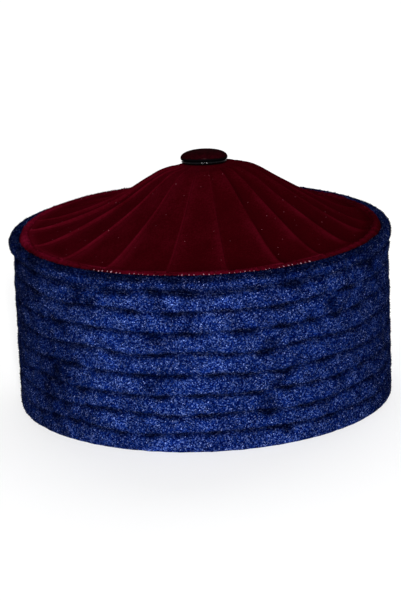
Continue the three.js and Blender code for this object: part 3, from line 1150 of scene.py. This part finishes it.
def make_whip_stitches(material):
    """Pale hand stitches over the seam between the piping and the rolled edge."""
    rng = np.random.default_rng(SEED + WHIP_SEED)
    count = int(TAU * INNER_RADIUS / WHIP_PITCH)
    turn = TAU * (np.arange(count) + rng.normal(0.0, WHIP_STRAY, count)) / count
    outward = ring_points(1.0, turn, 0.0)
    centres = outward * (INNER_RADIUS - WHIP_INSET + rng.normal(0.0, WHIP_SCATTER, count))[:, None]
    sunk = WHIP_SUNK * clamp(WHIP_SINK_FROM + np.sin(turn))
    centres[:, 2] = BAND_HEIGHT - WHIP_BELOW - sunk + rng.normal(0.0, WHIP_SCATTER, count)
    raise_rear(centres)
    slant = rng.normal(*WHIP_SLANT, count)[:, None]
    along = unit(outward + slant * tangents(turn) - WHIP_DIP * UPWARD)
    across = unit(np.cross(UPWARD, along))
    size = rng.uniform(*WHIP_SIZES, count)
    shows = (np.abs(np.cos(turn)) < WHIP_HIDDEN) & (rng.random(count) > WHIP_MISSING)
    template = capsule(WHIP_RADIUS, WHIP_LENGTH, WHIP_SIDES, WHIP_RINGS)
    points, faces = strewn(template, centres[shows], along[shows], across[shows], size[shows])
    return mesh_piece("whip_stitches", (material,), points, faces)


def make_quilt_stitches(material):
    """Running stitches of navy thread sunk in the band's creases."""
    rng = np.random.default_rng(SEED + QUILT_STITCH_SEED)
    template = capsule(QUILT_THREAD, QUILT_STITCH, QUILT_SIDES, QUILT_RINGS)
    count = QUILT_STITCHES
    centres = []
    directions = []
    for line, (top, _) in enumerate(QUILT_ROWS):
        turn = TAU * (np.arange(count) + rng.normal(0.0, QUILT_STRAY, count)) / count
        radius = stitched_radius(top) - CREASE_DEPTH - QUILT_SUNK
        centres.append(raise_rear(ring_points(radius, turn, top + LINE_WANDER * stitch_wander(line)(turn))))
        along = tangents(turn)
        along[:, 2] = rng.normal(0.0, QUILT_SLANT, count)
        directions.append(unit(along))
    along = np.concatenate(directions)
    across = unit(UPWARD - np.sum(UPWARD * along, axis=-1, keepdims=True) * along)
    points, faces = strewn(template, np.concatenate(centres), along, across)
    return mesh_piece("quilt_stitches", (material,), points, faces)


def on_seat(points):
    """Points given about the button's axis, stood on the crown's leaning seat."""
    x, y, z = points.T
    lean = math.sin(SEAT_TILT)
    lift = math.cos(SEAT_TILT)
    stood = (APEX[0] + x, APEX[1] + lift * y + lean * z, SEAT_HEIGHT + lift * z - lean * y)
    return raise_rear(np.stack(stood, axis=-1))


def button_piece(name, material, section, tones, sides, ribs=0.0):
    """A turned solid on the crown's seat, with a tone for each point of its section."""
    points, faces = turned(section, sides, ribs)
    tone = np.append(np.tile(tones[1:-1], sides), [tones[0], tones[-1]])
    return mesh_piece(name, (material,), on_seat(points), faces, None, {"tone": tone})


def bezier(points, count):
    """Points on the curve with these control points, without the last."""
    t = np.arange(count) / count
    order = len(points) - 1
    total = np.zeros((count, 2))
    for index, point in enumerate(points):
        weight = math.comb(order, index) * t**index * (1.0 - t) ** (order - index)
        total += weight[:, None] * np.array(point)
    return [tuple(point) for point in total]


def make_button(cap_material, collar_material):
    """The collar, finely ribbed, and the domed cap on it, with painted shade darkening the cap towards its
    foot.
    """
    foot, bulge, top = COLLAR_RADII
    middle = COLLAR_FOOT + 0.5 * COLLAR_HEIGHT
    high = COLLAR_FOOT + COLLAR_HEIGHT
    collar = [(0.0, COLLAR_FOOT), (FLAT_SHARE * foot, COLLAR_FOOT)]
    collar += bezier([(foot, COLLAR_FOOT), (bulge, middle), (top, high)], COLLAR_CURVE_STEPS)
    collar += [(top, high), (FLAT_SHARE * top, high), (0.0, high)]
    plain = np.zeros(len(collar))
    collar_piece = button_piece(
        "button_ring", collar_material, collar, plain, COLLAR_SIDES, COLLAR_RIB_DEPTH
    )
    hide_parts("button_collar")

    crest = CAP_FOOT + CAP_UNDERCUT + CAP_DOME
    widest = CAP_FOOT + CAP_UNDERCUT
    shoulder = widest + CAP_SHOULDER * CAP_DOME
    undercut = [(CAP_SEAT_RADIUS, CAP_FOOT), (CAP_RADIUS, CAP_FOOT), (CAP_RADIUS, widest)]
    dome = [(CAP_RADIUS, widest), (CAP_RADIUS, shoulder), (CAP_FLATNESS * CAP_RADIUS, crest), (0.0, crest)]
    cap = [(0.0, CAP_FOOT), (FLAT_SHARE * CAP_SEAT_RADIUS, CAP_FOOT)]
    cap += bezier(undercut, UNDERCUT_STEPS) + bezier(dome, DOME_STEPS) + [(0.0, crest)]
    # painted shade: full below the widest ring and gone a little above it
    level = np.array([point[1] for point in cap]) - widest
    shadow = ramp_up(level, CAP_SHADOW[0], CAP_SHADOW[1] - CAP_SHADOW[0]) - 1.0
    cap_piece = button_piece("button_dome", cap_material, cap, shadow, BUTTON_SIDES)
    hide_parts("button_cap")


def make_camera():
    """The photograph's view: straight at the front from a little above, rolled by about two degrees."""
    distance = 1.1
    target = Vector((0.0, 0.0, 0.0432))
    elevation = math.radians(16.08)
    roll = math.radians(2.278)
    focal_pixels = 2153.0
    shift_pixels = (-2.82, 8.7)
    image_height = 601.0
    sensor_width = 36.0
    away = Vector((0.0, -math.cos(elevation), math.sin(elevation)))
    right = Vector((1.0, 0.0, 0.0))
    up = away.cross(right)
    camera_x = math.cos(roll) * right - math.sin(roll) * up
    camera_y = math.sin(roll) * right + math.cos(roll) * up
    data = bpy.data.cameras.new("camera")
    data.sensor_width = sensor_width
    data.lens = focal_pixels * sensor_width / image_height
    data.shift_x = shift_pixels[0] / image_height
    data.shift_y = shift_pixels[1] / image_height
    camera = bpy.data.objects.new("camera", data)
    turned = Matrix((camera_x, camera_y, away)).transposed().to_4x4()
    camera.matrix_world = Matrix.Translation(target + distance * away) @ turned
    bpy.context.scene.collection.objects.link(camera)
    bpy.context.scene.camera = camera


def make_sun(name, azimuth, elevation, strength, angle):
    """A soft distant light from an azimuth, 0 being the camera's side, and an elevation in degrees."""
    data = bpy.data.lights.new(name, "SUN")
    data.energy = strength
    data.angle = math.radians(angle)
    lamp = bpy.data.objects.new(name, data)
    around = math.radians(azimuth)
    up = math.radians(elevation)
    source = Vector((math.sin(around) * math.cos(up), -math.cos(around) * math.cos(up), math.sin(up)))
    lamp.rotation_mode = "QUATERNION"
    lamp.rotation_quaternion = source.to_track_quat("Z", "Y")
    bpy.context.scene.collection.objects.link(lamp)


def make_studio():
    """A white paper floor, a key light by the camera, a weak fill from behind and an even white world."""
    floor_material, tree, shader, place = new_material("floor_paper")
    paper = ramp(tree, noise(tree, place, scale=3.0), FLOOR_STOPS)
    fill_inputs(tree, shader, {"Base Color": paper, "Roughness": 0.9, "Specular IOR Level": 0.1})
    bpy.ops.mesh.primitive_circle_add(vertices=FLOOR_SIDES, radius=FLOOR_RADIUS, fill_type="NGON")
    floor = bpy.context.object
    floor.name = "floor"
    floor.data.materials.append(floor_material)
    make_sun("key", azimuth=1.5, elevation=20.0, strength=6.4, angle=14.0)
    make_sun("back_fill", azimuth=175.0, elevation=28.0, strength=0.95, angle=70.0)
    world = bpy.data.worlds.new("studio")
    world.use_nodes = True
    background = world.node_tree.nodes["Background"]
    background.inputs["Color"].default_value = (1.0, 1.0, 1.0, 1.0)
    background.inputs["Strength"].default_value = WORLD_LIGHT
    bpy.context.scene.world = world
    bpy.context.scene.view_settings.view_transform = "Standard"


make_camera()
make_studio()
band_ground = crushed_velvet("band_velvet_ground", gloss=0.0)
band_pile = crushed_velvet("band_velvet_pile", gloss=0.35)
band_backing = backing_cloth("band_backing", dark=(0.004, 0.006, 0.022), light=(0.012, 0.018, 0.06))
crown_backing = backing_cloth("crown_backing", dark=(0.02, 0.001, 0.003), light=(0.06, 0.004, 0.010))
band_surface = make_band(band_ground, band_backing)
for layer in range(PILE_LAYERS):
    pile_name = f"band_pile_{layer + 1}"
    seed = BAND_PILE_SEED + layer
    make_pile(pile_name, "band_velvet", band_pile, band_surface, TUFTS_A_PIECE, size=1.0, seed=seed)
make_quilt_stitches(thread("navy_thread", dark=(0.002, 0.006, 0.03), light=(0.006, 0.014, 0.06)))
crown_piece = make_crown(smooth_velvet("crown_velvet", CROWN_STOPS, sheen=0.01), crown_backing)
piping_velvet = smooth_velvet("piping_velvet", PIPING_STOPS, sheen=0.01)
piping_surface = make_piping(piping_velvet)
piping_tufts = {"count": PIPING_TUFTS, "size": PIPING_TUFT_SIZE, "seed": PIPING_PILE_SEED}
make_pile("piping_pile", "piping_velvet", piping_velvet, piping_surface, **piping_tufts)
make_whip_stitches(thread("pale_thread", dark=(0.12, 0.04, 0.06), light=(0.40, 0.20, 0.25)))
button_lacquer = lacquer(
    "button_lacquer",
    dark=(0.004, 0.0002, 0.0006),
    light=(0.0115, 0.0005, 0.0015),
    metal=0.03,
    coat=0.005,
    roughness=0.2,
)
collar_lacquer = lacquer(
    "collar_lacquer",
    dark=(0.002, 0.0018, 0.0024),
    light=(0.004, 0.0036, 0.0046),
    metal=0.5,
    coat=0.3,
    roughness=0.1,
)
make_button(button_lacquer, collar_lacquer)
